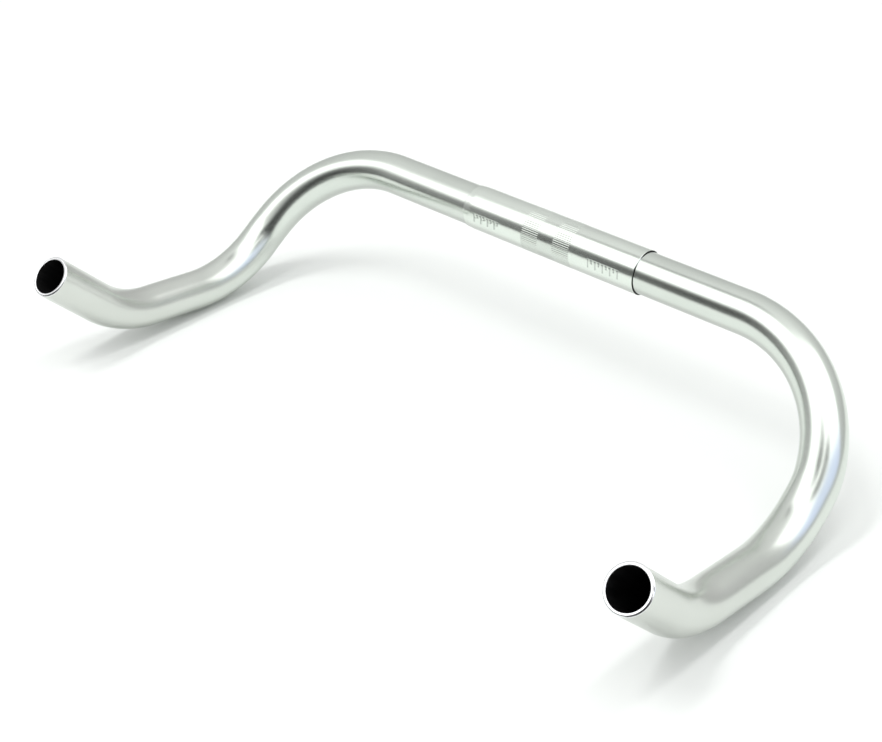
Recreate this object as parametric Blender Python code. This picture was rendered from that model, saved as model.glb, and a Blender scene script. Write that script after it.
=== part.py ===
"""Pursuit handlebar for a bicycle: one bent aluminium tube and the sleeve pressed on its middle.

Metres, +Z up. The origin is on the tube's axis at the middle of the clamp section, +X runs
along that section, and the two horns point towards -Y.
"""

import math

import bmesh
import bpy
from mathutils import Matrix, Vector

# Driving dimensions
WIDTH = 0.400            # between the axes of the two horns
TUBE_RADIUS = 0.0119     # 23.8 mm tube, the size that brake levers and grips clamp on
WALL = 0.0018
RIM_CHAMFER = 0.0004     # on both edges of each open end
SLEEVE_RADIUS = 0.0127   # 25.4 mm sleeve, the size that the stem clamps on
SLEEVE_LENGTH = 0.120
SLEEVE_GAP = 0.00015     # between the tube and the sleeve's bore

# Each half leaves the clamp section along X and takes these bends in turn. A heading is a yaw
# from -Y towards +X and a pitch up from level, in degrees.
BENDS = (
    # bend radius, yaw, pitch, straight run after it
    (0.076, 22.0, -46.0, 0.0),     # forward and down out of the clamp section
    (0.055, 4.0, -38.5, 0.0),      # brings the arm in line with the horn
    (0.071, 0.0, 6.5, 0.035),      # bottom of the drop, then the hand's lower run
    (0.062, 0.0, 44.5, 0.039),     # up into the horn
)

# The sleeve's ends and its two grip bands, which keep the bar from turning in the stem
LONG_TAPER = 0.0022      # at the -X end
SHORT_TAPER = 0.0008     # at the +X end
END_LIP = 0.0002         # thickness left at both ends of the sleeve
BAND_INNER = 0.005       # from the middle of the sleeve to the near edge of a band
BAND_OUTER = 0.017       # and to its far edge
GROOVES = 66             # around each band
GROOVE_DEPTH = 0.00015

# Facets
TUBE_SIDES = 32
BEND_STEP = 6.0          # most degrees of bend between two rings

ALUMINIUM = (0.80, 0.81, 0.80, 1.0)


def clear_scene():
    for obj in list(bpy.data.objects):
        bpy.data.objects.remove(obj)


def anodised(name, roughness):
    material = bpy.data.materials.new(name)
    material.use_nodes = True
    shader = material.node_tree.nodes["Principled BSDF"]
    shader.inputs["Base Color"].default_value = ALUMINIUM
    shader.inputs["Metallic"].default_value = 1.0
    shader.inputs["Roughness"].default_value = roughness
    return material


def heading(yaw, pitch):
    """The unit vector of a heading given in degrees."""
    yaw, pitch = math.radians(yaw), math.radians(pitch)
    level = math.cos(pitch)
    return Vector((math.sin(yaw) * level, -math.cos(yaw) * level, math.sin(pitch)))


def half_path(first_straight):
    """Frames down the +X half from the middle: each is a 4x4 matrix whose Z axis is the tube's."""
    along = Vector((1.0, 0.0, 0.0))
    frame = Matrix.Rotation(math.radians(90.0), 4, "Y")
    frames = [frame.copy()]

    def straight(length):
        frame.translation += along * length
        frames.append(frame.copy())

    straight(first_straight)
    for radius, yaw, pitch, run in BENDS:
        target = heading(yaw, pitch)
        axis = along.cross(target).normalized()
        angle = along.angle(target)
        centre = frame.translation + axis.cross(along) * radius
        steps = math.ceil(math.degrees(angle) / BEND_STEP)
        pivot = Matrix.Translation(centre)
        turn = pivot @ Matrix.Rotation(angle / steps, 4, axis) @ pivot.inverted()
        for _ in range(steps):
            frame = turn @ frame
            frames.append(frame.copy())
        along = target
        if run:
            straight(run)
    return frames


def ring_points(frame, radii):
    """One point for each radius, evenly spaced round the frame's Z axis."""
    count = len(radii)
    for i, radius in enumerate(radii):
        angle = 2.0 * math.pi * i / count
        yield frame @ Vector((radius * math.cos(angle), radius * math.sin(angle), 0.0))


def skin(mesh_name, rings, closed):
    """A mesh with a strip of quads from each ring to the next, and from the last to the first."""
    bm = bmesh.new()
    loops = [[bm.verts.new(point) for point in ring] for ring in rings]
    pairs = list(zip(loops, loops[1:]))
    if closed:
        pairs.append((loops[-1], loops[0]))
    for near, far in pairs:
        for i in range(len(near)):
            j = (i + 1) % len(near)
            bm.faces.new((near[i], near[j], far[j], far[i]))
    mesh = bpy.data.meshes.new(mesh_name)
    bm.to_mesh(mesh)
    bm.free()
    mesh.shade_smooth()
    mesh.set_sharp_from_angle(angle=math.radians(30.0))
    return mesh


def add_object(name, mesh, material):
    obj = bpy.data.objects.new(name, mesh)
    obj.data.materials.append(material)
    bpy.context.scene.collection.objects.link(obj)
    return obj


def bar_tube():
    """The outer skin of one half, mirrored, given its wall and then its chamfered rims."""
    bends_reach = half_path(0.0)[-1].translation.x
    frames = half_path(WIDTH / 2 - bends_reach)
    rings = [ring_points(frame, [TUBE_RADIUS] * TUBE_SIDES) for frame in frames]
    tube = add_object("bar_tube", skin("bar_tube", rings, closed=False), anodised("bar", 0.30))

    mirror = tube.modifiers.new("other half", "MIRROR")
    mirror.use_axis = (True, False, False)
    mirror.merge_threshold = 0.00001

    wall = tube.modifiers.new("wall", "SOLIDIFY")
    wall.thickness = WALL
    wall.offset = -1.0
    wall.use_even_offset = True

    rims = tube.modifiers.new("rims", "BEVEL")
    rims.width = RIM_CHAMFER
    rims.segments = 1
    rims.limit_method = "ANGLE"
    rims.angle_limit = math.radians(60.0)
    return tube


def sleeve_profile():
    """(x, radius, grooved) down the sleeve's outside from -X to +X, then back along its bore."""
    half = SLEEVE_LENGTH / 2
    bore = TUBE_RADIUS + SLEEVE_GAP
    lip = bore + END_LIP
    profile = [(-half, lip, False), (-half + LONG_TAPER, SLEEVE_RADIUS, False)]
    for start, end in ((-BAND_OUTER, -BAND_INNER), (BAND_INNER, BAND_OUTER)):
        profile += [
            (start, SLEEVE_RADIUS, False),
            (start + GROOVE_DEPTH, SLEEVE_RADIUS, True),
            (end - GROOVE_DEPTH, SLEEVE_RADIUS, True),
            (end, SLEEVE_RADIUS, False),
        ]
    profile += [(half - SHORT_TAPER, SLEEVE_RADIUS, False), (half, lip, False)]
    profile += [(half, bore, False), (-half, bore, False)]
    return profile


def clamp_sleeve():
    """The sleeve that the stem clamps, with a groove at every second point round its bands."""
    rings = []
    for x, radius, grooved in sleeve_profile():
        low = radius - GROOVE_DEPTH if grooved else radius
        frame = Matrix.Translation((x, 0.0, 0.0)) @ Matrix.Rotation(math.radians(90.0), 4, "Y")
        rings.append(ring_points(frame, [radius, low] * GROOVES))
    mesh = skin("clamp_sleeve", rings, closed=True)
    return add_object("clamp_sleeve", mesh, anodised("sleeve", 0.25))


clear_scene()
bar_tube()
clamp_sleeve()
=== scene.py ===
"""Looks of the pursuit handlebar: its drawn and anodised tube, its grooved clamp sleeve, and the studio.

Metres, +Z up, in the part's own frame: the origin is on the tube's axis at the middle of the clamp
section, +X runs along it and the horns point towards -Y. The angles among the values below are in
degrees. An azimuth or yaw turns from -Y towards +X, and an elevation or pitch upwards.
"""

import math
from collections import namedtuple

import bmesh
import bpy
from mathutils import Matrix, Vector


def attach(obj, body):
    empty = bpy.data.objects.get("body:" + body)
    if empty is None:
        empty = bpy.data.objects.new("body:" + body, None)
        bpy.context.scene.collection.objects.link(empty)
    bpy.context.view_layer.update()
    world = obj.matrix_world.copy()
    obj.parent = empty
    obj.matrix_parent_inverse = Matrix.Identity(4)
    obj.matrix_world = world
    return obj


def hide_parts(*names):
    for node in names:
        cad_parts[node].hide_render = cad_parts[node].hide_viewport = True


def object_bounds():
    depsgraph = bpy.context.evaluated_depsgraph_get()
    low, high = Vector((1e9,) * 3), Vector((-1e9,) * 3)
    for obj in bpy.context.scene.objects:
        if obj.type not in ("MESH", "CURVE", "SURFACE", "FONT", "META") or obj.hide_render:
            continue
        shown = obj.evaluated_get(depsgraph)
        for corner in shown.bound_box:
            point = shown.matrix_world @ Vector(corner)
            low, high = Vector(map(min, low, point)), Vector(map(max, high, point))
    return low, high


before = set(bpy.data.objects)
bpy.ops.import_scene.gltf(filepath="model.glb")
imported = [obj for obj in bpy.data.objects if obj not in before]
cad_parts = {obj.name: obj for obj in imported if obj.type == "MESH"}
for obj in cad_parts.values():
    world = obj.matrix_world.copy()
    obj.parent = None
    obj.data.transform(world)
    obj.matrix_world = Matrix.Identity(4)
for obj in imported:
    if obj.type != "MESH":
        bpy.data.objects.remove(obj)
cad_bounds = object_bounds()
FLOOR_HEIGHT = cad_bounds[0].z

# The bar's shape, as the part has it
WIDTH = 0.400            # between the axes of the two horns
TUBE_RADIUS = 0.0119
WALL = 0.0018
SLEEVE_RADIUS = 0.0127
SLEEVE_LENGTH = 0.120
BENDS = (
    # bend radius, yaw and pitch after it, straight run after it
    (0.076, 22.0, -46.0, 0.0),
    (0.055, 4.0, -38.5, 0.0),
    (0.071, 0.0, 6.5, 0.035),
    (0.062, 0.0, 44.5, 0.039),
)

# The tube's finer shape
TUBE_SIDES = 120
BEND_STEP = 1.25         # most degrees of bend between two rings
STRAIGHT_STEP = 0.004    # most length of straight between two rings
FLATTENING = 0.012       # how much a bend narrows the tube in the bend's own plane
FLATTENING_RAMP = 0.018  # length over which a bend's flattening comes and goes
RIM_CHAMFER = 0.0007     # width on the face of a cut end's outer chamfer
RIM_SLOPE = 35.0         # between that chamfer and the face
RIM_ROUND = 0.0001       # radius of the edges that the chamfer leaves
BORE_ROUND = 0.0002      # and of its inner edge
ROUND_STEPS = 5

# The sleeve's finer shape
LONG_TAPER = 0.0050      # length of the -X end's taper
TAPER_STEPS = 10
END_LIP = 0.00050        # height of the step at the end of that taper
SHORT_TAPER = 0.0002     # length of the +X end's
SHORT_DROP = 0.0001      # and how far it drops
SHORT_ROUND = 0.2        # share of that drop in each of its rounded ends
EDGE = 0.00005           # between the close rings at an edge
SLEEVE_SEAT = 0.00006    # gap between the sleeve's bore and the tube
GROOVES = 66
GROOVE_DEPTH = 0.00007
GROOVE_SHARE = 0.36      # share of the pitch that a groove takes up
POINTS_PER_GROOVE = 12
BANDS = ((-0.017, -0.005), (0.005, 0.017))
BAND_RUN_OUT = 0.0004

# Engraved alignment scales, one at each side of the grip bands: (first tick, last tick)
SCALES = ((-0.0515, -0.034), (0.0305, 0.0505))
TICK_PITCH = 0.0025
TICK_WIDTH = 0.0009
TICK_FLOOR = 0.6         # share of a tick's width that is flat
TICK_FADE = 1.2          # degrees over which a tick's ends run out
TICK_DEPTH = 0.00016
TICK_TOP = 13.0          # these three turn round the sleeve from -Y towards +Z
TICK_BOTTOM = -11.0
SHORT_TICK_BOTTOM = 2.0

# Colours
DULL_SILVER = (0.665, 0.71, 0.66)
BRIGHT_SILVER = (0.705, 0.75, 0.70)
DULL_SLEEVE = (0.75, 0.80, 0.745)
BRIGHT_SLEEVE = (0.79, 0.845, 0.785)
# Painted shade on the lower front of the sleeve's middle, for its darker reflection of the shaded floor
MIDDLE_SHADE = (0.66, 0.705, 0.655)
# Painted shade towards the horns, for their darker reflection of the shaded floor
HORN_SHADE = (0.94, 0.915, 0.925)
ENGRAVED = (0.16, 0.165, 0.16)
DULL_CUT = (0.84, 0.85, 0.86)
BRIGHT_CUT = (0.93, 0.94, 0.95)
# The sleeve's +X end face is bare metal where its glint shows, and painted shade elsewhere
BARE_END = (0.9, 0.9, 0.9)
# Painted shade: on the sleeve's +X end face, in the seam against it, and as a shadow under the step at
# the -X end
SEAM_SHADE = (0.012, 0.012, 0.013)
# Painted shade inside the bore: near black, in two blotchy tones
BORE_SHADE_BLACK = (0.002, 0.002, 0.002)
BORE_SHADE_GREY = (0.010, 0.010, 0.010)

# Noise over the metal: how fine round the tube, how fine along it, both per metre, and its detail
CLOUDS = (90.0, 28.0, 3.0)
DIE_LINES = (600.0, 9.0, 3.0)
ETCH = (6000.0, 5000.0, 1.0)
TOOL_RINGS = (40.0, 3000.0, 2.0)
DIRT = (900.0, 900.0, 3.0)
BORE_BLOTCHES = (300.0, 60.0, 3.0)
NOISE_LOW = 0.3          # nearly all of the noise lies between these two
NOISE_HIGH = 0.7

# Roughness and relief. A pair is the least and the most.
TUBE_ROUGHNESS = 0.225
SLEEVE_ROUGHNESS = 0.215
DIE_LINE_ROUGHNESS = (-0.007, 0.007)   # that the die lines add
CLOUD_ROUGHNESS = (-0.006, 0.006)      # that the clouds add
SEAM_SHADE_ROUGHNESS = 0.2                  # that the painted seam shade adds
MIDDLE_SHADE_ROUGHNESS = 0.01                  # that the painted shade on the sleeve's middle adds
CUT_ROUGHNESS = (0.14, 0.24)
END_ROUGHNESS = (0.35, 0.55)
BORE_ROUGHNESS = (0.7, 0.9)
SHADED_SPECULAR = 0.1     # of the end face and the bore, where shade is painted
ETCH_BUMP = (0.000002, 0.04)           # its height, and the share of it that shows
DIE_LINE_BUMP = (0.000001, 0.03)

# Where the looks change. A turn goes round from -Y towards +Z, and a span says how far from a turn a
# spot starts to fade and how far from it the spot ends.
HORN_SHADING = (0.22, 0.34, 0.0, 1.0)  # from and to how far along, and the share of the painted horn shade there
HORN_SATIN = (0.20, 0.32, 0.0, 0.03)   # from and to how far along, and the roughness added there
ENGRAVED_SHARE = 0.45    # how much of its colour the bottom of a tick takes on
MIDDLE_SHADE_TURN = -40.0        # turn of the lower front side, where shade is painted on the sleeve's middle
MIDDLE_SHADE_SPAN = (60.0, 80.0)
MIDDLE_SHADE_FADE = 0.0003       # length over which it ends along the sleeve
SEAM_SHADE_WIDTH = 0.00025     # of the painted shade on the tube in the seam at the sleeve's +X end
SEAM_SHADE_FADE = 0.0001
SEAM_SHADE_GAP = 53.0          # turn where that painted shade is left out, so the glint shows
SEAM_SHADE_GAP_SPAN = (8.0, 12.0)
STEP_SHADOW = -14.0            # turn of the painted shadow on the tube under the step at the sleeve's -X end
STEP_SHADOW_SPAN = (7.0, 13.0)
STEP_SHADOW_WIDTH = 0.0004

# The camera. It looks from this azimuth and elevation.
CAMERA_PLACE = (0.495128, -0.633216, 0.407256)
CAMERA_AZIMUTH = 42.668
CAMERA_ELEVATION = 31.648
CAMERA_LENS = 65.887     # in millimetres, and so is the sensor's width
CAMERA_SENSOR = 36.0

# The floor, the room and the lamps. Radiances are in the camera's units, where 1 is white.
FLOOR_COLOUR = (0.865, 0.885, 0.87)
FLOOR_ROUGHNESS = 0.9
FLOOR_REACH = 40.0       # from the middle to each side
FLOOR_SPECULAR = 0.0
FILL = 1.08              # strength of the even light that matt surfaces get
BACKDROP = 1.1           # and of what shows past the floor
ROOM_LOW = 0.57          # the room's radiance at the horizon
ROOM_HIGH = 0.96         # and from ROOM_TOP up
ROOM_TOP = 70.0
LAMP_AIM = Vector((0.0, -0.10, 0.0))
LAMPS = (
    # name, azimuth, elevation, distance, width, length, radiance given to the floor
    ("overhead_lamp", 63.0, 79.0, 2.4, 0.34, 3.2, 0.235),
    ("front_lamp", -25.0, 65.0, 2.4, 0.28, 1.2, 0.225),
)

# Flat shapes hung over the bar, which only the metal sees
PANEL_HEIGHT = 1.2
PANEL_RADIANCE = 1.75
FRAME_RADIANCE = 0.35
RAIL_HEIGHT = 0.60
RAIL_RADIANCE = 0.03
PANELS = (
    # name, height, radiance, corners going round
    ("front_panel", PANEL_HEIGHT, PANEL_RADIANCE, (
        (-0.80, -0.13), (-0.45, -0.13), (-0.20, -0.08), (1.30, -0.08), (1.60, -1.00), (0.66, -1.34),
        (0.14, -1.52), (-0.50, -1.70), (-1.90, -2.60), (-2.00, -1.30), (-1.90, -0.75), (-1.05, -0.40),
    )),
    ("right_panel", PANEL_HEIGHT, PANEL_RADIANCE, (
        (0.00, -0.079), (0.45, 1.05), (1.60, 1.05), (1.60, -0.079),
    )),
    ("left_rail", RAIL_HEIGHT, RAIL_RADIANCE, (
        (0.14, -0.54), (0.24, -0.54), (0.39, -0.46), (0.38, -0.37), (0.26, -0.38), (0.15, -0.45),
    )),
    ("right_rail", RAIL_HEIGHT, RAIL_RADIANCE, (
        (0.48, -0.42), (0.62, -0.41), (0.76, -0.35), (0.80, -0.22), (0.62, -0.20), (0.47, -0.29),
    )),
    ("panel_frame", PANEL_HEIGHT, FRAME_RADIANCE, (
        (-0.80, -0.125), (-0.45, -0.125), (-0.22, -0.06), (-0.22, 0.16), (-0.78, 0.10),
    )),
)

# The dark end of the room. A pair of azimuths or elevations is where a change starts and ends.
WALL_DISTANCE = 2.5
WALL_FOOT = -0.05        # height of its foot
WALL_TOP = 32.0          # elevation of its top
WALL_ENDS = (-78.0, -52.0, 66.0, 92.0)  # azimuths where it appears, is full, starts to fade, is gone
WALL_GREY = 0.46         # its radiance at the -X side
WALL_DARK = 0.045        # and at the +X side
WALL_DARKENING = (-52.0, -22.0)
WALL_EDGE = (17.0, 30.0)  # elevations over which it turns into the room
WALL_SAG = 6.5           # how much lower that edge is at the -X side
WALL_SAGGING = (-35.5, -41.0)
WALL_CLEARING = (-30.0, -45.0)  # azimuths over which what is above the edge clears

# What lies past the front edge of the table
TABLE_EDGE = -0.365
PAST_TABLE_REACH = 3.0   # from the middle
PAST_TABLE_LIFT = 0.0005  # above the floor
PAST_TABLE_DARK = 0.12
PAST_TABLE_PALE = 0.42
PAST_TABLE_PALING = (0.68, 0.98)  # shares of its width from -X

# The shaded table under the bar, as the metal sees it
SHADE_X = (-0.22, 0.13)
SHADE_Y = (-0.05, 0.06)
SHADE_LIFT = 0.0004      # above the floor
SHADE_RADIANCE = 0.74
SHADE_ALONG = (0.0, 0.12, 0.88, 1.0)   # shares of its sides where it appears, is full, fades, is gone
SHADE_ACROSS = (0.0, 0.5, 0.8, 1.0)

# The dark shape of someone standing beyond the horns
FIGURE_X = (-0.02, 1.15)
FIGURE_Y = -0.64
FIGURE_Z = (-0.06, 0.88)
FIGURE_RADIANCE = 0.05
FIGURE_SIDES = (0.0, 0.22, 0.65, 1.0)  # shares of its width where it appears, is full, fades, is gone
FIGURE_HEAD = (1.0, 0.72)              # shares of its height over which its top takes shape

# The window to the right. Its corners go round from the low one on the -Y side.
WINDOW = ((1.50, -0.50, 0.05), (1.50, 0.62, 0.05), (1.50, 1.00, 1.20), (1.25, -0.62, 1.20))
WINDOW_FOOT = (0.0, 0.25)     # shares of its height over which it appears
WINDOW_SIDE = (0.0, 0.2)      # and of its width
WHITE_SLANT = 0.35            # how much sooner the white starts at the far side
WHITENING = (0.70, 1.20)      # shares of its height over which it turns white, at the near side
BLUE_SLANT = 1.6              # and how much sooner the blue does
BLUEING = (0.68, 1.13)
HAZE = (0.97, 0.99, 1.05)     # radiance of its haze, and of the bluest part of that
BLUE_HAZE = (0.90, 0.99, 1.30)


def mix(a, b, t):
    return a + (b - a) * t


def smooth(t):
    """0 to 1 with level ends."""
    t = min(max(t, 0.0), 1.0)
    return t * t * (3.0 - 2.0 * t)


def ramp(value, start, end):
    """0 before start and 1 past end, with level ends. start may be the higher of the two."""
    return smooth((value - start) / (end - start))


def hump(value, start, full, fading, end):
    """0 before start, 1 from full to fading, and 0 past end."""
    return ramp(value, start, full) * ramp(value, end, fading)


def heading(yaw, pitch):
    """The unit vector that points this way."""
    yaw, pitch = math.radians(yaw), math.radians(pitch)
    level = math.cos(pitch)
    return Vector((math.sin(yaw) * level, -math.cos(yaw) * level, math.sin(pitch)))


def new_object(name, data):
    made = bpy.data.objects.new(name, data)
    bpy.context.scene.collection.objects.link(made)
    return made


# ---------------------------------------------------------------- the path of the tube

class Station:
    """A cross-section of the tube: its pose (Z along the tube), its run from the middle of the
    bar, the unit vector to the bend's centre, and how far into its bend it lies."""

    def __init__(self, pose, run, inward, depth):
        self.pose = pose.copy()
        self.run = run
        self.inward = inward
        self.depth = depth


def half_path(first_straight):
    """The stations down the +X half, from the middle of the bar to the tip."""
    ahead = Vector((1.0, 0.0, 0.0))
    pose = Matrix.Rotation(math.radians(90.0), 4, "Y")
    run = 0.0
    nowhere = Vector((0.0, 0.0, 0.0))
    stations = [Station(pose, run, nowhere, 0.0)]

    def straight(length):
        nonlocal run
        steps = max(1, math.ceil(length / STRAIGHT_STEP))
        for _ in range(steps):
            pose.translation += ahead * (length / steps)
            run += length / steps
            stations.append(Station(pose, run, nowhere, 0.0))

    straight(first_straight)
    for radius, yaw, pitch, after in BENDS:
        target = heading(yaw, pitch)
        axis = ahead.cross(target).normalized()
        angle = ahead.angle(target)
        pivot = Matrix.Translation(pose.translation + axis.cross(ahead) * radius)
        steps = math.ceil(math.degrees(angle) / BEND_STEP)
        turn = pivot @ Matrix.Rotation(angle / steps, 4, axis) @ pivot.inverted()
        for i in range(1, steps + 1):
            pose = turn @ pose
            run += radius * angle / steps
            inward = (pivot.translation - pose.translation).normalized()
            from_end = radius * angle / steps * min(i, steps - i)
            stations.append(Station(pose, run, inward, smooth(from_end / FLATTENING_RAMP)))
        ahead = target
        if after:
            straight(after)
    return stations


def full_path():
    """The stations from the -X tip to the +X tip, as (station, side), side being -1 or 1."""
    reach = half_path(0.0)[-1].pose.translation.x
    half = half_path(WIDTH / 2 - reach)
    return [(station, -1.0) for station in reversed(half)] + [(station, 1.0) for station in half[1:]]


def tube_ring(station, side, radius, shift):
    """The points round one station, and for each its angle. shift moves the ring along the tube."""
    for i in range(TUBE_SIDES):
        angle = 2.0 * math.pi * i / TUBE_SIDES
        out = station.pose.to_3x3() @ Vector((math.cos(angle), math.sin(angle), 0.0))
        lean = out.dot(station.inward)
        oval = 1.0 - FLATTENING * station.depth * lean * lean
        point = station.pose @ Vector((0.0, 0.0, shift)) + out * (radius * oval)
        yield Vector((point.x * side, point.y, point.z)), angle


# ---------------------------------------------------------------- meshes

OUTSIDE, CUT, INSIDE = 0, 1, 2  # a piece's materials, in the order of its slots


def skin(name, rings, materials, kinds, flat=()):
    """A closed mesh with a strip of quads from each ring to the next, and from the last to the first.

    A ring is a list of (point, grain, engraved): grain is where the point lies on the unbent metal,
    which the materials' streaks follow, and engraved is 1 at the bottom of a mark and 0 off it. kinds
    gives each strip's material, and flat lists the strips with sharp edges along them.
    """
    bm = bmesh.new()
    grain = bm.verts.layers.float_vector.new("grain")
    engraved = bm.verts.layers.float.new("engraved")
    loops = []
    for ring in rings:
        loop = []
        for point, place, mark in ring:
            vert = bm.verts.new(point)
            vert[grain] = place
            vert[engraved] = mark
            loop.append(vert)
        loops.append(loop)
    for strip, kind in enumerate(kinds):
        near, far = loops[strip], loops[(strip + 1) % len(loops)]
        for i in range(len(near)):
            j = (i + 1) % len(near)
            face = bm.faces.new((near[i], near[j], far[j], far[i]))
            face.material_index = kind
            face.smooth = strip not in flat
    mesh = bpy.data.meshes.new(name)
    bm.to_mesh(mesh)
    bm.free()
    for material in materials:
        mesh.materials.append(material)
    return new_object(name, mesh)


def rim_profile():
    """(radius, distance back from the cut end) round the rim of the tube, from outside to bore."""
    face = TUBE_RADIUS - RIM_CHAMFER
    inner = TUBE_RADIUS - WALL + BORE_ROUND
    depth = RIM_CHAMFER * math.tan(math.radians(RIM_SLOPE))
    reach = RIM_ROUND / RIM_CHAMFER
    points = [
        (TUBE_RADIUS, depth + 2.0 * RIM_ROUND), (TUBE_RADIUS, depth + RIM_ROUND),
        (TUBE_RADIUS - RIM_ROUND, depth * (1.0 - reach)),
        (TUBE_RADIUS - 2.0 * RIM_ROUND, depth * (1.0 - 2.0 * reach)),
        (face + 2.0 * RIM_ROUND, depth * 2.0 * reach), (face + RIM_ROUND, depth * reach),
        (face - RIM_ROUND, 0.0), (face - 2.0 * RIM_ROUND, 0.0),
    ]
    for i in range(ROUND_STEPS + 1):
        angle = 0.5 * math.pi * i / ROUND_STEPS
        points.append((inner - BORE_ROUND * math.sin(angle), BORE_ROUND * (1.0 - math.cos(angle))))
    return points


def bar_tube(materials):
    """The whole tube: its outside from tip to tip, a rounded rim, its bore back, and the other rim."""
    path = full_path()
    bore = TUBE_RADIUS - WALL
    rim = rim_profile()

    def ring(station, side, radius, back=0.0):
        run = side * (station.run - back)
        return [
            (point, Vector((TUBE_RADIUS * math.cos(a), TUBE_RADIUS * math.sin(a), run)), 0.0)
            for point, a in tube_ring(station, side, radius, -back)
        ]

    rings, kinds = [], []
    for station, side in path[1:-1]:
        rings.append(ring(station, side, TUBE_RADIUS))
        kinds.append(OUTSIDE)
    tip, side = path[-1]
    for radius, back in rim:
        rings.append(ring(tip, side, radius, back))
        kinds.append(CUT)
    kinds[-1] = INSIDE
    for station, side in reversed(path[1:-1]):
        rings.append(ring(station, side, bore))
        kinds.append(INSIDE)
    tip, side = path[0]
    for radius, back in reversed(rim):
        rings.append(ring(tip, side, radius, back))
        kinds.append(CUT)
    kinds[-1] = OUTSIDE
    return skin("bar_tube_finish", rings, materials, kinds)


# A ring of the sleeve: its place along X, its radius, the shares of the grooves' and of a tick's full
# depth that are cut into it, and the turn of that tick's low end
Stop = namedtuple("Stop", "x radius groove tick low", defaults=(SLEEVE_RADIUS, 0.0, 0.0, 0.0))


def groove_depth(angle):
    """Depth of the grip grooves at an angle round the sleeve: V-shaped, with lands between them."""
    phase = (angle * GROOVES / (2.0 * math.pi)) % 1.0
    return GROOVE_DEPTH * max(0.0, 1.0 - abs(phase - 0.5) / (0.5 * GROOVE_SHARE))


def tick_share(angle, low):
    """Share of a tick's depth at an angle. It runs from low up to the top of the scale, in degrees."""
    turn = (math.degrees(angle) + 180.0) % 360.0 - 180.0
    return smooth((turn - low) / TICK_FADE) * smooth((TICK_TOP - turn) / TICK_FADE)


def long_taper_stops():
    """The taper at the -X end, with its low step."""
    start = -SLEEVE_LENGTH / 2
    lip = TUBE_RADIUS + SLEEVE_SEAT + END_LIP
    stops = [Stop(start, lip - EDGE)]
    for i in range(TAPER_STEPS + 1):
        share = i / TAPER_STEPS
        x = start + EDGE + (LONG_TAPER - EDGE) * share
        stops.append(Stop(x, mix(lip, SLEEVE_RADIUS, smooth(share))))
    stops.append(Stop(start + LONG_TAPER + EDGE))
    return stops


def scale_stops(first, last):
    """One engraved scale, whose long and short ticks take turns."""
    stops = [Stop(first - TICK_WIDTH / 2 - EDGE)]
    for i in range(round((last - first) / TICK_PITCH) + 1):
        low = TICK_BOTTOM if i % 2 == 0 else SHORT_TICK_BOTTOM
        for side, share in ((-1.0, 0.0), (-TICK_FLOOR, 1.0), (TICK_FLOOR, 1.0), (1.0, 0.0)):
            x = first + i * TICK_PITCH + side * TICK_WIDTH / 2
            stops.append(Stop(x, tick=share, low=low))
    stops.append(Stop(last + TICK_WIDTH / 2 + EDGE))
    return stops


def band_stops(first, last):
    """One grip band, whose grooves run out at its two ends."""
    full = first + BAND_RUN_OUT
    fading = last - BAND_RUN_OUT
    places = (
        (first - EDGE, 0.0), (first, 0.0), (full, 1.0), (full + EDGE, 1.0),
        (fading - EDGE, 1.0), (fading, 1.0), (last, 0.0), (last + EDGE, 0.0),
    )
    return [Stop(x, groove=share) for x, share in places]


def short_taper_stops():
    """The eased edge at the +X end."""
    end = SLEEVE_LENGTH / 2
    return [
        Stop(end - SHORT_TAPER - 3.0 * EDGE),
        Stop(end - SHORT_TAPER - EDGE),
        Stop(end - SHORT_TAPER + EDGE, SLEEVE_RADIUS - SHORT_ROUND * SHORT_DROP),
        Stop(end - EDGE, SLEEVE_RADIUS - (1.0 - SHORT_ROUND) * SHORT_DROP),
        Stop(end, SLEEVE_RADIUS - SHORT_DROP - EDGE),
    ]


def sleeve_stops():
    """The sleeve's outside, from -X to +X, and its bore back. Close pairs of rings keep each edge
    crisp and each plain stretch straight."""
    stops = long_taper_stops() + scale_stops(*SCALES[0])
    for band in BANDS:
        stops += band_stops(*band)
    stops += scale_stops(*SCALES[1]) + short_taper_stops()
    bore = TUBE_RADIUS + SLEEVE_SEAT
    return stops + [Stop(SLEEVE_LENGTH / 2, bore), Stop(-SLEEVE_LENGTH / 2, bore)]


def sleeve_ring(stop):
    """The (point, grain, engraved) of each point round the sleeve at a stop."""
    count = GROOVES * POINTS_PER_GROOVE
    ring = []
    for i in reversed(range(count)):
        # the angle from -Y towards +Z
        angle = 2.0 * math.pi * i / count
        mark = stop.tick * tick_share(angle, stop.low)
        radius = stop.radius - stop.groove * groove_depth(angle) - mark * TICK_DEPTH
        point = Vector((stop.x, -radius * math.cos(angle), radius * math.sin(angle)))
        place = Vector((-stop.radius * math.sin(angle), -stop.radius * math.cos(angle), stop.x))
        ring.append((point, place, mark))
    return ring


def clamp_sleeve(materials):
    """The sleeve, with its grip grooves and engraved scales cut into the mesh itself."""
    stops = sleeve_stops()
    rings = [sleeve_ring(stop) for stop in stops]
    kinds = [OUTSIDE] * (len(rings) - 3) + [CUT, INSIDE, INSIDE]
    grooved = [i for i in range(len(stops) - 1) if stops[i].groove == stops[i + 1].groove == 1.0]
    return skin("clamp_sleeve_finish", rings, materials, kinds, grooved)


# ---------------------------------------------------------------- parts of a material

def node(tree, kind, **settings):
    made = tree.nodes.new(kind)
    for key, value in settings.items():
        setattr(made, key, value)
    return made


def new_material(name):
    """A material with a Principled shader: itself, its node tree and that shader's inputs."""
    material = bpy.data.materials.new(name)
    material.use_nodes = True
    tree = material.node_tree
    return material, tree, tree.nodes["Principled BSDF"].inputs


def attribute(tree, name):
    return node(tree, "ShaderNodeAttribute", attribute_name=name)


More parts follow.
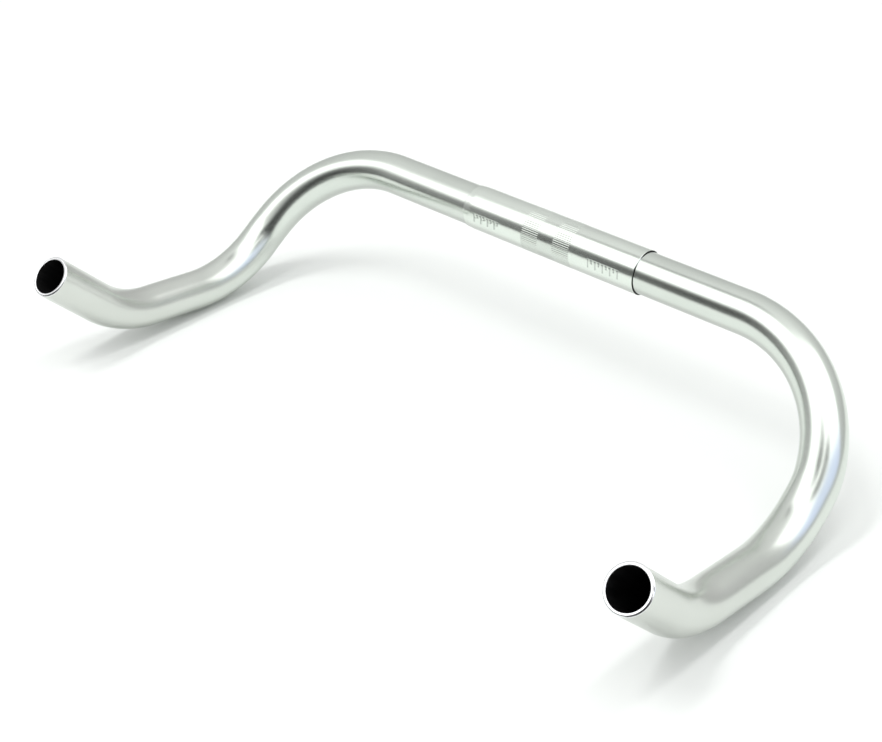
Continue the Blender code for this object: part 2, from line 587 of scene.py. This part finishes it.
def grain_noise(tree, round_tube, along_tube, detail):
    """Noise on the unbent metal, with its own scale round the tube and along it. Returns its socket."""
    scale = node(tree, "ShaderNodeVectorMath", operation="MULTIPLY")
    scale.inputs[1].default_value = (round_tube, round_tube, along_tube)
    noise = node(tree, "ShaderNodeTexNoise")
    noise.inputs["Scale"].default_value = 1.0
    noise.inputs["Detail"].default_value = detail
    tree.links.new(attribute(tree, "grain").outputs["Vector"], scale.inputs[0])
    tree.links.new(scale.outputs[0], noise.inputs["Vector"])
    return noise.outputs["Fac"]


def spread(tree, value, low, high, out_low, out_high):
    """Maps a socket's range low..high onto out_low..out_high, clamped."""
    made = node(tree, "ShaderNodeMapRange")
    made.inputs["From Min"].default_value = low
    made.inputs["From Max"].default_value = high
    made.inputs["To Min"].default_value = out_low
    made.inputs["To Max"].default_value = out_high
    tree.links.new(value, made.inputs["Value"])
    return made.outputs["Result"]


def spread_noise(tree, noise, out_low, out_high):
    """Maps a noise's usual range onto out_low..out_high."""
    return spread(tree, noise, NOISE_LOW, NOISE_HIGH, out_low, out_high)


def arithmetic(tree, operation, a, b=0.0):
    """A sum on two sockets or numbers. Returns its socket."""
    made = node(tree, "ShaderNodeMath", operation=operation)
    for socket, value in zip(made.inputs, (a, b)):
        if isinstance(value, (int, float)):
            socket.default_value = value
        else:
            tree.links.new(value, socket)
    return made.outputs[0]


def two_tones(tree, share, dark, light):
    made = node(tree, "ShaderNodeMix", data_type="RGBA")
    made.inputs["A"].default_value = (*dark, 1.0)
    made.inputs["B"].default_value = (*light, 1.0)
    tree.links.new(share, made.inputs["Factor"])
    return made.outputs["Result"]


def tinted(tree, share, colour, tint, blend_type="MIX"):
    """A colour's socket turned by share towards a tint, or, with MULTIPLY, towards its product."""
    made = node(tree, "ShaderNodeMix", data_type="RGBA", blend_type=blend_type)
    made.inputs["B"].default_value = (*tint, 1.0)
    tree.links.new(share, made.inputs["Factor"])
    tree.links.new(colour, made.inputs["A"])
    return made.outputs["Result"]


def choice(tree, share, first, second):
    """Goes from the first shader to the second by share. Returns its socket."""
    made = node(tree, "ShaderNodeMixShader")
    for socket, value in zip(made.inputs, (share, first, second)):
        tree.links.new(value, socket)
    return made.outputs[0]


def bump(tree, relief, height, strength):
    made = node(tree, "ShaderNodeBump")
    made.inputs["Strength"].default_value = strength
    made.inputs["Distance"].default_value = height
    tree.links.new(relief, made.inputs["Height"])
    return made


def distance_along(tree):
    """How far along the unbent tube a point is, from the middle, towards +X. Returns its socket."""
    split = node(tree, "ShaderNodeSeparateXYZ")
    tree.links.new(attribute(tree, "grain").outputs["Vector"], split.inputs[0])
    return split.outputs["Z"]


def from_middle(tree):
    return arithmetic(tree, "ABSOLUTE", distance_along(tree))


def spot(tree, turn, inner, outer):
    """1 within inner degrees of a turn round the tube, and 0 beyond outer."""
    angle = math.radians(turn)
    lean = node(tree, "ShaderNodeVectorMath", operation="DOT_PRODUCT")
    lean.inputs[1].default_value = (-math.sin(angle), -math.cos(angle), 0.0)
    tree.links.new(attribute(tree, "grain").outputs["Vector"], lean.inputs[0])
    low, high = (TUBE_RADIUS * math.cos(math.radians(span)) for span in (outer, inner))
    return spread(tree, lean.outputs["Value"], low, high, 0.0, 1.0)


# ---------------------------------------------------------------- materials

def shade_except_glint(tree):
    """Where shade is painted at the sleeve's +X end: 0 on the stretch left bare, where the glint shows,
    and 1 elsewhere.
    """
    return arithmetic(tree, "SUBTRACT", 1.0, spot(tree, SEAM_SHADE_GAP, *SEAM_SHADE_GAP_SPAN))


def seam_shading(tree):
    """Painted shade on the tube against the two ends of the sleeve: a dark ring in the +X seam, and a
    painted shadow under the step at the -X end.
    """
    run = distance_along(tree)
    half = SLEEVE_LENGTH / 2
    right = spread(tree, run, half + SEAM_SHADE_WIDTH, half + SEAM_SHADE_WIDTH + SEAM_SHADE_FADE, 1.0, 0.0)
    right = arithmetic(tree, "MULTIPLY", right, spread(tree, run, 0.0, half, 0.0, 1.0))
    right = arithmetic(tree, "MULTIPLY", right, shade_except_glint(tree))
    left = spread(tree, run, -half - STEP_SHADOW_WIDTH - SEAM_SHADE_FADE, -half - STEP_SHADOW_WIDTH, 0.0, 1.0)
    left = arithmetic(tree, "MULTIPLY", left, spread(tree, run, -half, 0.0, 1.0, 0.0))
    left = arithmetic(tree, "MULTIPLY", left, spot(tree, STEP_SHADOW, *STEP_SHADOW_SPAN))
    return arithmetic(tree, "MAXIMUM", left, right)


def shaded_middle(tree):
    """Painted shade on the lower front of the sleeve's middle, between the outer ends of the two grip
    bands, with a little added roughness.
    """
    edge = BANDS[1][1]
    middle = spread(tree, from_middle(tree), edge, edge + MIDDLE_SHADE_FADE, 1.0, 0.0)
    return arithmetic(tree, "MULTIPLY", middle, spot(tree, MIDDLE_SHADE_TURN, *MIDDLE_SHADE_SPAN))


def anodised(name, dull, bright, roughness, find_shade, shade_colour, shade_roughness):
    """Satin silver anodising over drawn metal: die lines along the tube and faint clouds. find_shade
    gives where shade is painted on it, with that painted shade's colour and the roughness it adds."""
    material, tree, shader = new_material(name)
    shader["Metallic"].default_value = 1.0
    clouds = grain_noise(tree, *CLOUDS)
    die_lines = grain_noise(tree, *DIE_LINES)
    away = from_middle(tree)
    shade_share = find_shade(tree)

    colour = two_tones(tree, spread_noise(tree, clouds, 0.0, 1.0), dull, bright)
    # painted shade towards the horns
    colour = tinted(tree, spread(tree, away, *HORN_SHADING), colour, HORN_SHADE, "MULTIPLY")
    # painted shade where find_shade gives it
    colour = tinted(tree, shade_share, colour, shade_colour)
    engraved = attribute(tree, "engraved").outputs["Fac"]
    colour = tinted(tree, arithmetic(tree, "MULTIPLY", engraved, ENGRAVED_SHARE), colour, ENGRAVED)
    tree.links.new(colour, shader["Base Color"])

    low, high = DIE_LINE_ROUGHNESS
    satin = spread_noise(tree, die_lines, roughness + low, roughness + high)
    satin = arithmetic(tree, "ADD", satin, spread_noise(tree, clouds, *CLOUD_ROUGHNESS))
    satin = arithmetic(tree, "ADD", satin, spread(tree, away, *HORN_SATIN))
    satin = arithmetic(tree, "ADD", satin, arithmetic(tree, "MULTIPLY", shade_share, shade_roughness))
    tree.links.new(satin, shader["Roughness"])

    etched = bump(tree, grain_noise(tree, *ETCH), *ETCH_BUMP)
    drawn = bump(tree, die_lines, *DIE_LINE_BUMP)
    tree.links.new(etched.outputs["Normal"], drawn.inputs["Normal"])
    tree.links.new(drawn.outputs["Normal"], shader["Normal"])
    return material


def bright_cut(name):
    """Bare metal faced off by a tool, with fine rings left by it."""
    material, tree, shader = new_material(name)
    shader["Metallic"].default_value = 1.0
    turned = grain_noise(tree, *TOOL_RINGS)
    tone = spread_noise(tree, turned, 0.0, 1.0)
    tree.links.new(two_tones(tree, tone, DULL_CUT, BRIGHT_CUT), shader["Base Color"])
    tree.links.new(spread_noise(tree, turned, *CUT_ROUGHNESS), shader["Roughness"])
    return material


def sleeve_end(name):
    """The sleeve's +X end face, dark and dull with painted shade but for one stretch left bare, where
    its glint shows.
    """
    material, tree, shader = new_material(name)
    end_shade = shade_except_glint(tree)
    tree.links.new(two_tones(tree, end_shade, BARE_END, SEAM_SHADE), shader["Base Color"])
    tree.links.new(arithmetic(tree, "SUBTRACT", 1.0, end_shade), shader["Metallic"])
    dirt = grain_noise(tree, *DIRT)
    tree.links.new(spread_noise(tree, dirt, *END_ROUGHNESS), shader["Roughness"])
    shader["Specular IOR Level"].default_value = SHADED_SPECULAR
    return material


def shaded_bore(name):
    """The inside of the tube, painted near black as shade, with blotchy tone and roughness."""
    material, tree, shader = new_material(name)
    blotches = grain_noise(tree, *BORE_BLOTCHES)
    tone = spread_noise(tree, blotches, 0.0, 1.0)
    tree.links.new(two_tones(tree, tone, BORE_SHADE_BLACK, BORE_SHADE_GREY), shader["Base Color"])
    tree.links.new(spread_noise(tree, blotches, *BORE_ROUGHNESS), shader["Roughness"])
    shader["Specular IOR Level"].default_value = SHADED_SPECULAR
    return material


# ---------------------------------------------------------------- camera, floor and lamps

def add_camera():
    data = bpy.data.cameras.new("camera")
    data.lens = CAMERA_LENS
    data.sensor_width = CAMERA_SENSOR
    camera = new_object("camera", data)
    camera.location = CAMERA_PLACE
    down = math.radians(90.0 - CAMERA_ELEVATION)
    camera.rotation_euler = (down, 0.0, math.radians(CAMERA_AZIMUTH))
    bpy.context.scene.camera = camera


def add_floor():
    mesh = bpy.data.meshes.new("floor")
    square = ((-1, -1), (1, -1), (1, 1), (-1, 1))
    corners = [(x * FLOOR_REACH, y * FLOOR_REACH, FLOOR_HEIGHT) for x, y in square]
    mesh.from_pydata(corners, [], [range(4)])
    floor = new_object("floor", mesh)
    material, _, shader = new_material("floor")
    shader["Base Color"].default_value = (*FLOOR_COLOUR, 1.0)
    shader["Roughness"].default_value = FLOOR_ROUGHNESS
    shader["Specular IOR Level"].default_value = FLOOR_SPECULAR
    mesh.materials.append(material)


def add_lamp(name, azimuth, elevation, distance, width, length, floor_radiance):
    """A softbox with its length along Y, aimed at the bar from a direction. floor_radiance is
    what it alone gives the floor there."""
    towards = heading(azimuth, elevation)
    lengthways = Vector((0.0, 1.0, 0.0))
    lengthways = (lengthways - towards * lengthways.dot(towards)).normalized()
    data = bpy.data.lights.new(name, "AREA")
    data.shape = "RECTANGLE"
    data.size = width
    data.size_y = length
    light_on_floor = math.pi * floor_radiance / FLOOR_COLOUR[1]
    data.energy = light_on_floor / towards.z * distance ** 2 * math.pi
    lamp = new_object(name, data)
    lamp.location = LAMP_AIM + towards * distance
    lamp.rotation_mode = "QUATERNION"
    turned = Matrix((lengthways.cross(towards), lengthways, towards)).transposed()
    lamp.rotation_quaternion = turned.to_quaternion()
    lamp.visible_camera = False
    lamp.visible_glossy = False


def add_world():
    """The pale room, brighter towards the ceiling, which the metal reflects. Matt surfaces get an even
    light in its place, and the camera sees plain white past the floor."""
    world = bpy.data.worlds.new("studio")
    bpy.context.scene.world = world
    world.use_nodes = True
    tree = world.node_tree
    tree.nodes.clear()
    place = node(tree, "ShaderNodeTexCoord")
    split = node(tree, "ShaderNodeSeparateXYZ")
    tree.links.new(place.outputs["Generated"], split.inputs[0])
    elevation = arithmetic(tree, "ARCSINE", split.outputs["Z"])
    share = spread(tree, elevation, 0.0, math.radians(ROOM_TOP), 0.0, 1.0)
    room = node(tree, "ShaderNodeBackground")
    tree.links.new(two_tones(tree, share, (ROOM_LOW,) * 3, (ROOM_HIGH,) * 3), room.inputs["Color"])
    fill = node(tree, "ShaderNodeBackground")
    fill.inputs["Strength"].default_value = FILL
    backdrop = node(tree, "ShaderNodeBackground")
    backdrop.inputs["Strength"].default_value = BACKDROP
    path = node(tree, "ShaderNodeLightPath")
    light = choice(tree, path.outputs["Is Glossy Ray"], fill.outputs[0], room.outputs[0])
    light = choice(tree, path.outputs["Is Camera Ray"], light, backdrop.outputs[0])
    output = node(tree, "ShaderNodeOutputWorld")
    tree.links.new(light, output.inputs["Surface"])


# ---------------------------------------------------------------- what the metal reflects

def stage_sheet(name, mesh):
    """Stages a mesh that glows by its glow attribute. It shows in the metal, and lights nothing else."""
    material = bpy.data.materials.new(name)
    material.use_nodes = True
    tree = material.node_tree
    tree.nodes.clear()
    glow = attribute(tree, "glow")
    emission = node(tree, "ShaderNodeEmission")
    clear = node(tree, "ShaderNodeBsdfTransparent")
    tree.links.new(glow.outputs["Color"], emission.inputs["Color"])
    surface = choice(tree, glow.outputs["Alpha"], clear.outputs[0], emission.outputs[0])
    output = node(tree, "ShaderNodeOutputMaterial")
    tree.links.new(surface, output.inputs["Surface"])
    mesh.materials.append(material)
    sheet = new_object(name, mesh)
    sheet.visible_camera = False
    sheet.visible_diffuse = False
    sheet.visible_shadow = False


def glowing_sheet(name, place, glow, columns, rows):
    """A sheet of the studio that isn't itself seen. place(u, v) gives its points, and glow(u, v) its
    radiance, as red, green, blue and opacity, with u and v from 0 to 1."""
    bm = bmesh.new()
    layer = bm.verts.layers.float_color.new("glow")
    verts = []
    for j in range(rows + 1):
        for i in range(columns + 1):
            u, v = i / columns, j / rows
            vert = bm.verts.new(place(u, v))
            vert[layer] = glow(u, v)
            verts.append(vert)
    for j in range(rows):
        for i in range(columns):
            k = j * (columns + 1) + i
            bm.faces.new((verts[k], verts[k + 1], verts[k + columns + 2], verts[k + columns + 1]))
    mesh = bpy.data.meshes.new(name)
    bm.to_mesh(mesh)
    bm.free()
    stage_sheet(name, mesh)


def grey(radiance, opacity=1.0):
    return (radiance, radiance, radiance, opacity)


def add_panel(name, height, radiance, corners):
    """A flat panel overhead that glows evenly."""
    mesh = bpy.data.meshes.new(name)
    mesh.from_pydata([(x, y, height) for x, y in corners], [], [range(len(corners))])
    glow = mesh.attributes.new("glow", "FLOAT_COLOR", "POINT")
    for value in glow.data:
        value.color = grey(radiance)
    stage_sheet(name, mesh)


def add_window():
    """A tall window to the right: hazy daylight, blue in part and white where it is high."""

    def place(u, v):
        low = Vector(WINDOW[0]).lerp(Vector(WINDOW[1]), u)
        high = Vector(WINDOW[3]).lerp(Vector(WINDOW[2]), u)
        return low.lerp(high, v)

    def glow(u, v):
        white = ramp(v + WHITE_SLANT * u, *WHITENING)
        blue = ramp(v + BLUE_SLANT * u, *BLUEING)
        haze = [mix(pale, deep, blue) for pale, deep in zip(HAZE, BLUE_HAZE)]
        clear = ramp(v, *WINDOW_FOOT) * ramp(u, *WINDOW_SIDE)
        return (*(mix(light, PANEL_RADIANCE, white) for light in haze), clear)

    glowing_sheet("window", place, glow, columns=12, rows=12)


def add_far_wall():
    """The dark end of the room beyond the horns, which the metal reflects as a dark stripe."""

    def direction(u, v):
        return mix(WALL_ENDS[0], WALL_ENDS[3], u), v * WALL_TOP

    def place(u, v):
        azimuth, elevation = direction(u, v)
        height = WALL_DISTANCE * math.tan(math.radians(elevation)) + WALL_FOOT
        return heading(azimuth, 0.0) * WALL_DISTANCE + Vector((0.0, 0.0, height))

    def glow(u, v):
        azimuth, elevation = direction(u, v)
        room = mix(ROOM_LOW, ROOM_HIGH, ramp(elevation, 0.0, ROOM_TOP))
        dark = mix(WALL_GREY, WALL_DARK, ramp(azimuth, *WALL_DARKENING))
        sag = WALL_SAG * ramp(azimuth, *WALL_SAGGING)
        top = ramp(elevation + sag, *WALL_EDGE)
        clear = top * ramp(azimuth, *WALL_CLEARING)
        wall = mix(room, dark, hump(azimuth, *WALL_ENDS))
        return grey(mix(wall, room, top), 1.0 - clear)

    glowing_sheet("far_wall", place, glow, columns=60, rows=24)


def add_table_end():
    """What lies past the front edge of the table: a darker floor."""
    height = FLOOR_HEIGHT + PAST_TABLE_LIFT

    def place(u, v):
        x = mix(-PAST_TABLE_REACH, PAST_TABLE_REACH, u)
        return Vector((x, mix(TABLE_EDGE, -PAST_TABLE_REACH, v), height))

    def glow(u, v):
        return grey(mix(PAST_TABLE_DARK, PAST_TABLE_PALE, ramp(u, *PAST_TABLE_PALING)))

    glowing_sheet("table_end", place, glow, columns=30, rows=1)


def add_under_table():
    """The shaded table under the bar, as the metal sees it."""

    def place(u, v):
        return Vector((mix(*SHADE_X, u), mix(*SHADE_Y, v), FLOOR_HEIGHT + SHADE_LIFT))

    def glow(u, v):
        return grey(SHADE_RADIANCE, hump(u, *SHADE_ALONG) * hump(v, *SHADE_ACROSS))

    glowing_sheet("under_table", place, glow, columns=24, rows=12)


def add_figure():
    """The dark shape of someone standing beyond the horns."""

    def place(u, v):
        return Vector((mix(*FIGURE_X, u), FIGURE_Y, mix(*FIGURE_Z, v)))

    def glow(u, v):
        return grey(FIGURE_RADIANCE, hump(u, *FIGURE_SIDES) * ramp(v, *FIGURE_HEAD))

    glowing_sheet("figure", place, glow, columns=30, rows=30)


def add_studio():
    bpy.context.scene.view_settings.view_transform = "Standard"
    add_world()
    for panel in PANELS:
        add_panel(*panel)
    add_window()
    add_far_wall()
    add_table_end()
    add_under_table()
    add_figure()
    for lamp in LAMPS:
        add_lamp(*lamp)


# ---------------------------------------------------------------- the object

def add_object(piece, replaced):
    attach(piece, "root")
    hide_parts(replaced)


# The tube's and the sleeve's anodising, with painted shade in the seams and on the sleeve's middle
tube_anodise = anodised(
    "anodised_tube", DULL_SILVER, BRIGHT_SILVER, TUBE_ROUGHNESS, seam_shading, SEAM_SHADE, SEAM_SHADE_ROUGHNESS)
sleeve_anodise = anodised(
    "anodised_sleeve", DULL_SLEEVE, BRIGHT_SLEEVE, SLEEVE_ROUGHNESS, shaded_middle, MIDDLE_SHADE,
    MIDDLE_SHADE_ROUGHNESS)
tube = bar_tube([tube_anodise, bright_cut("bright_cut_end"), shaded_bore("shaded_bore")])
sleeve = clamp_sleeve([sleeve_anodise, sleeve_end("shaded_end"), sleeve_anodise])
add_object(tube, "bar_tube")
add_object(sleeve, "clamp_sleeve")

add_camera()
add_floor()
add_studio()
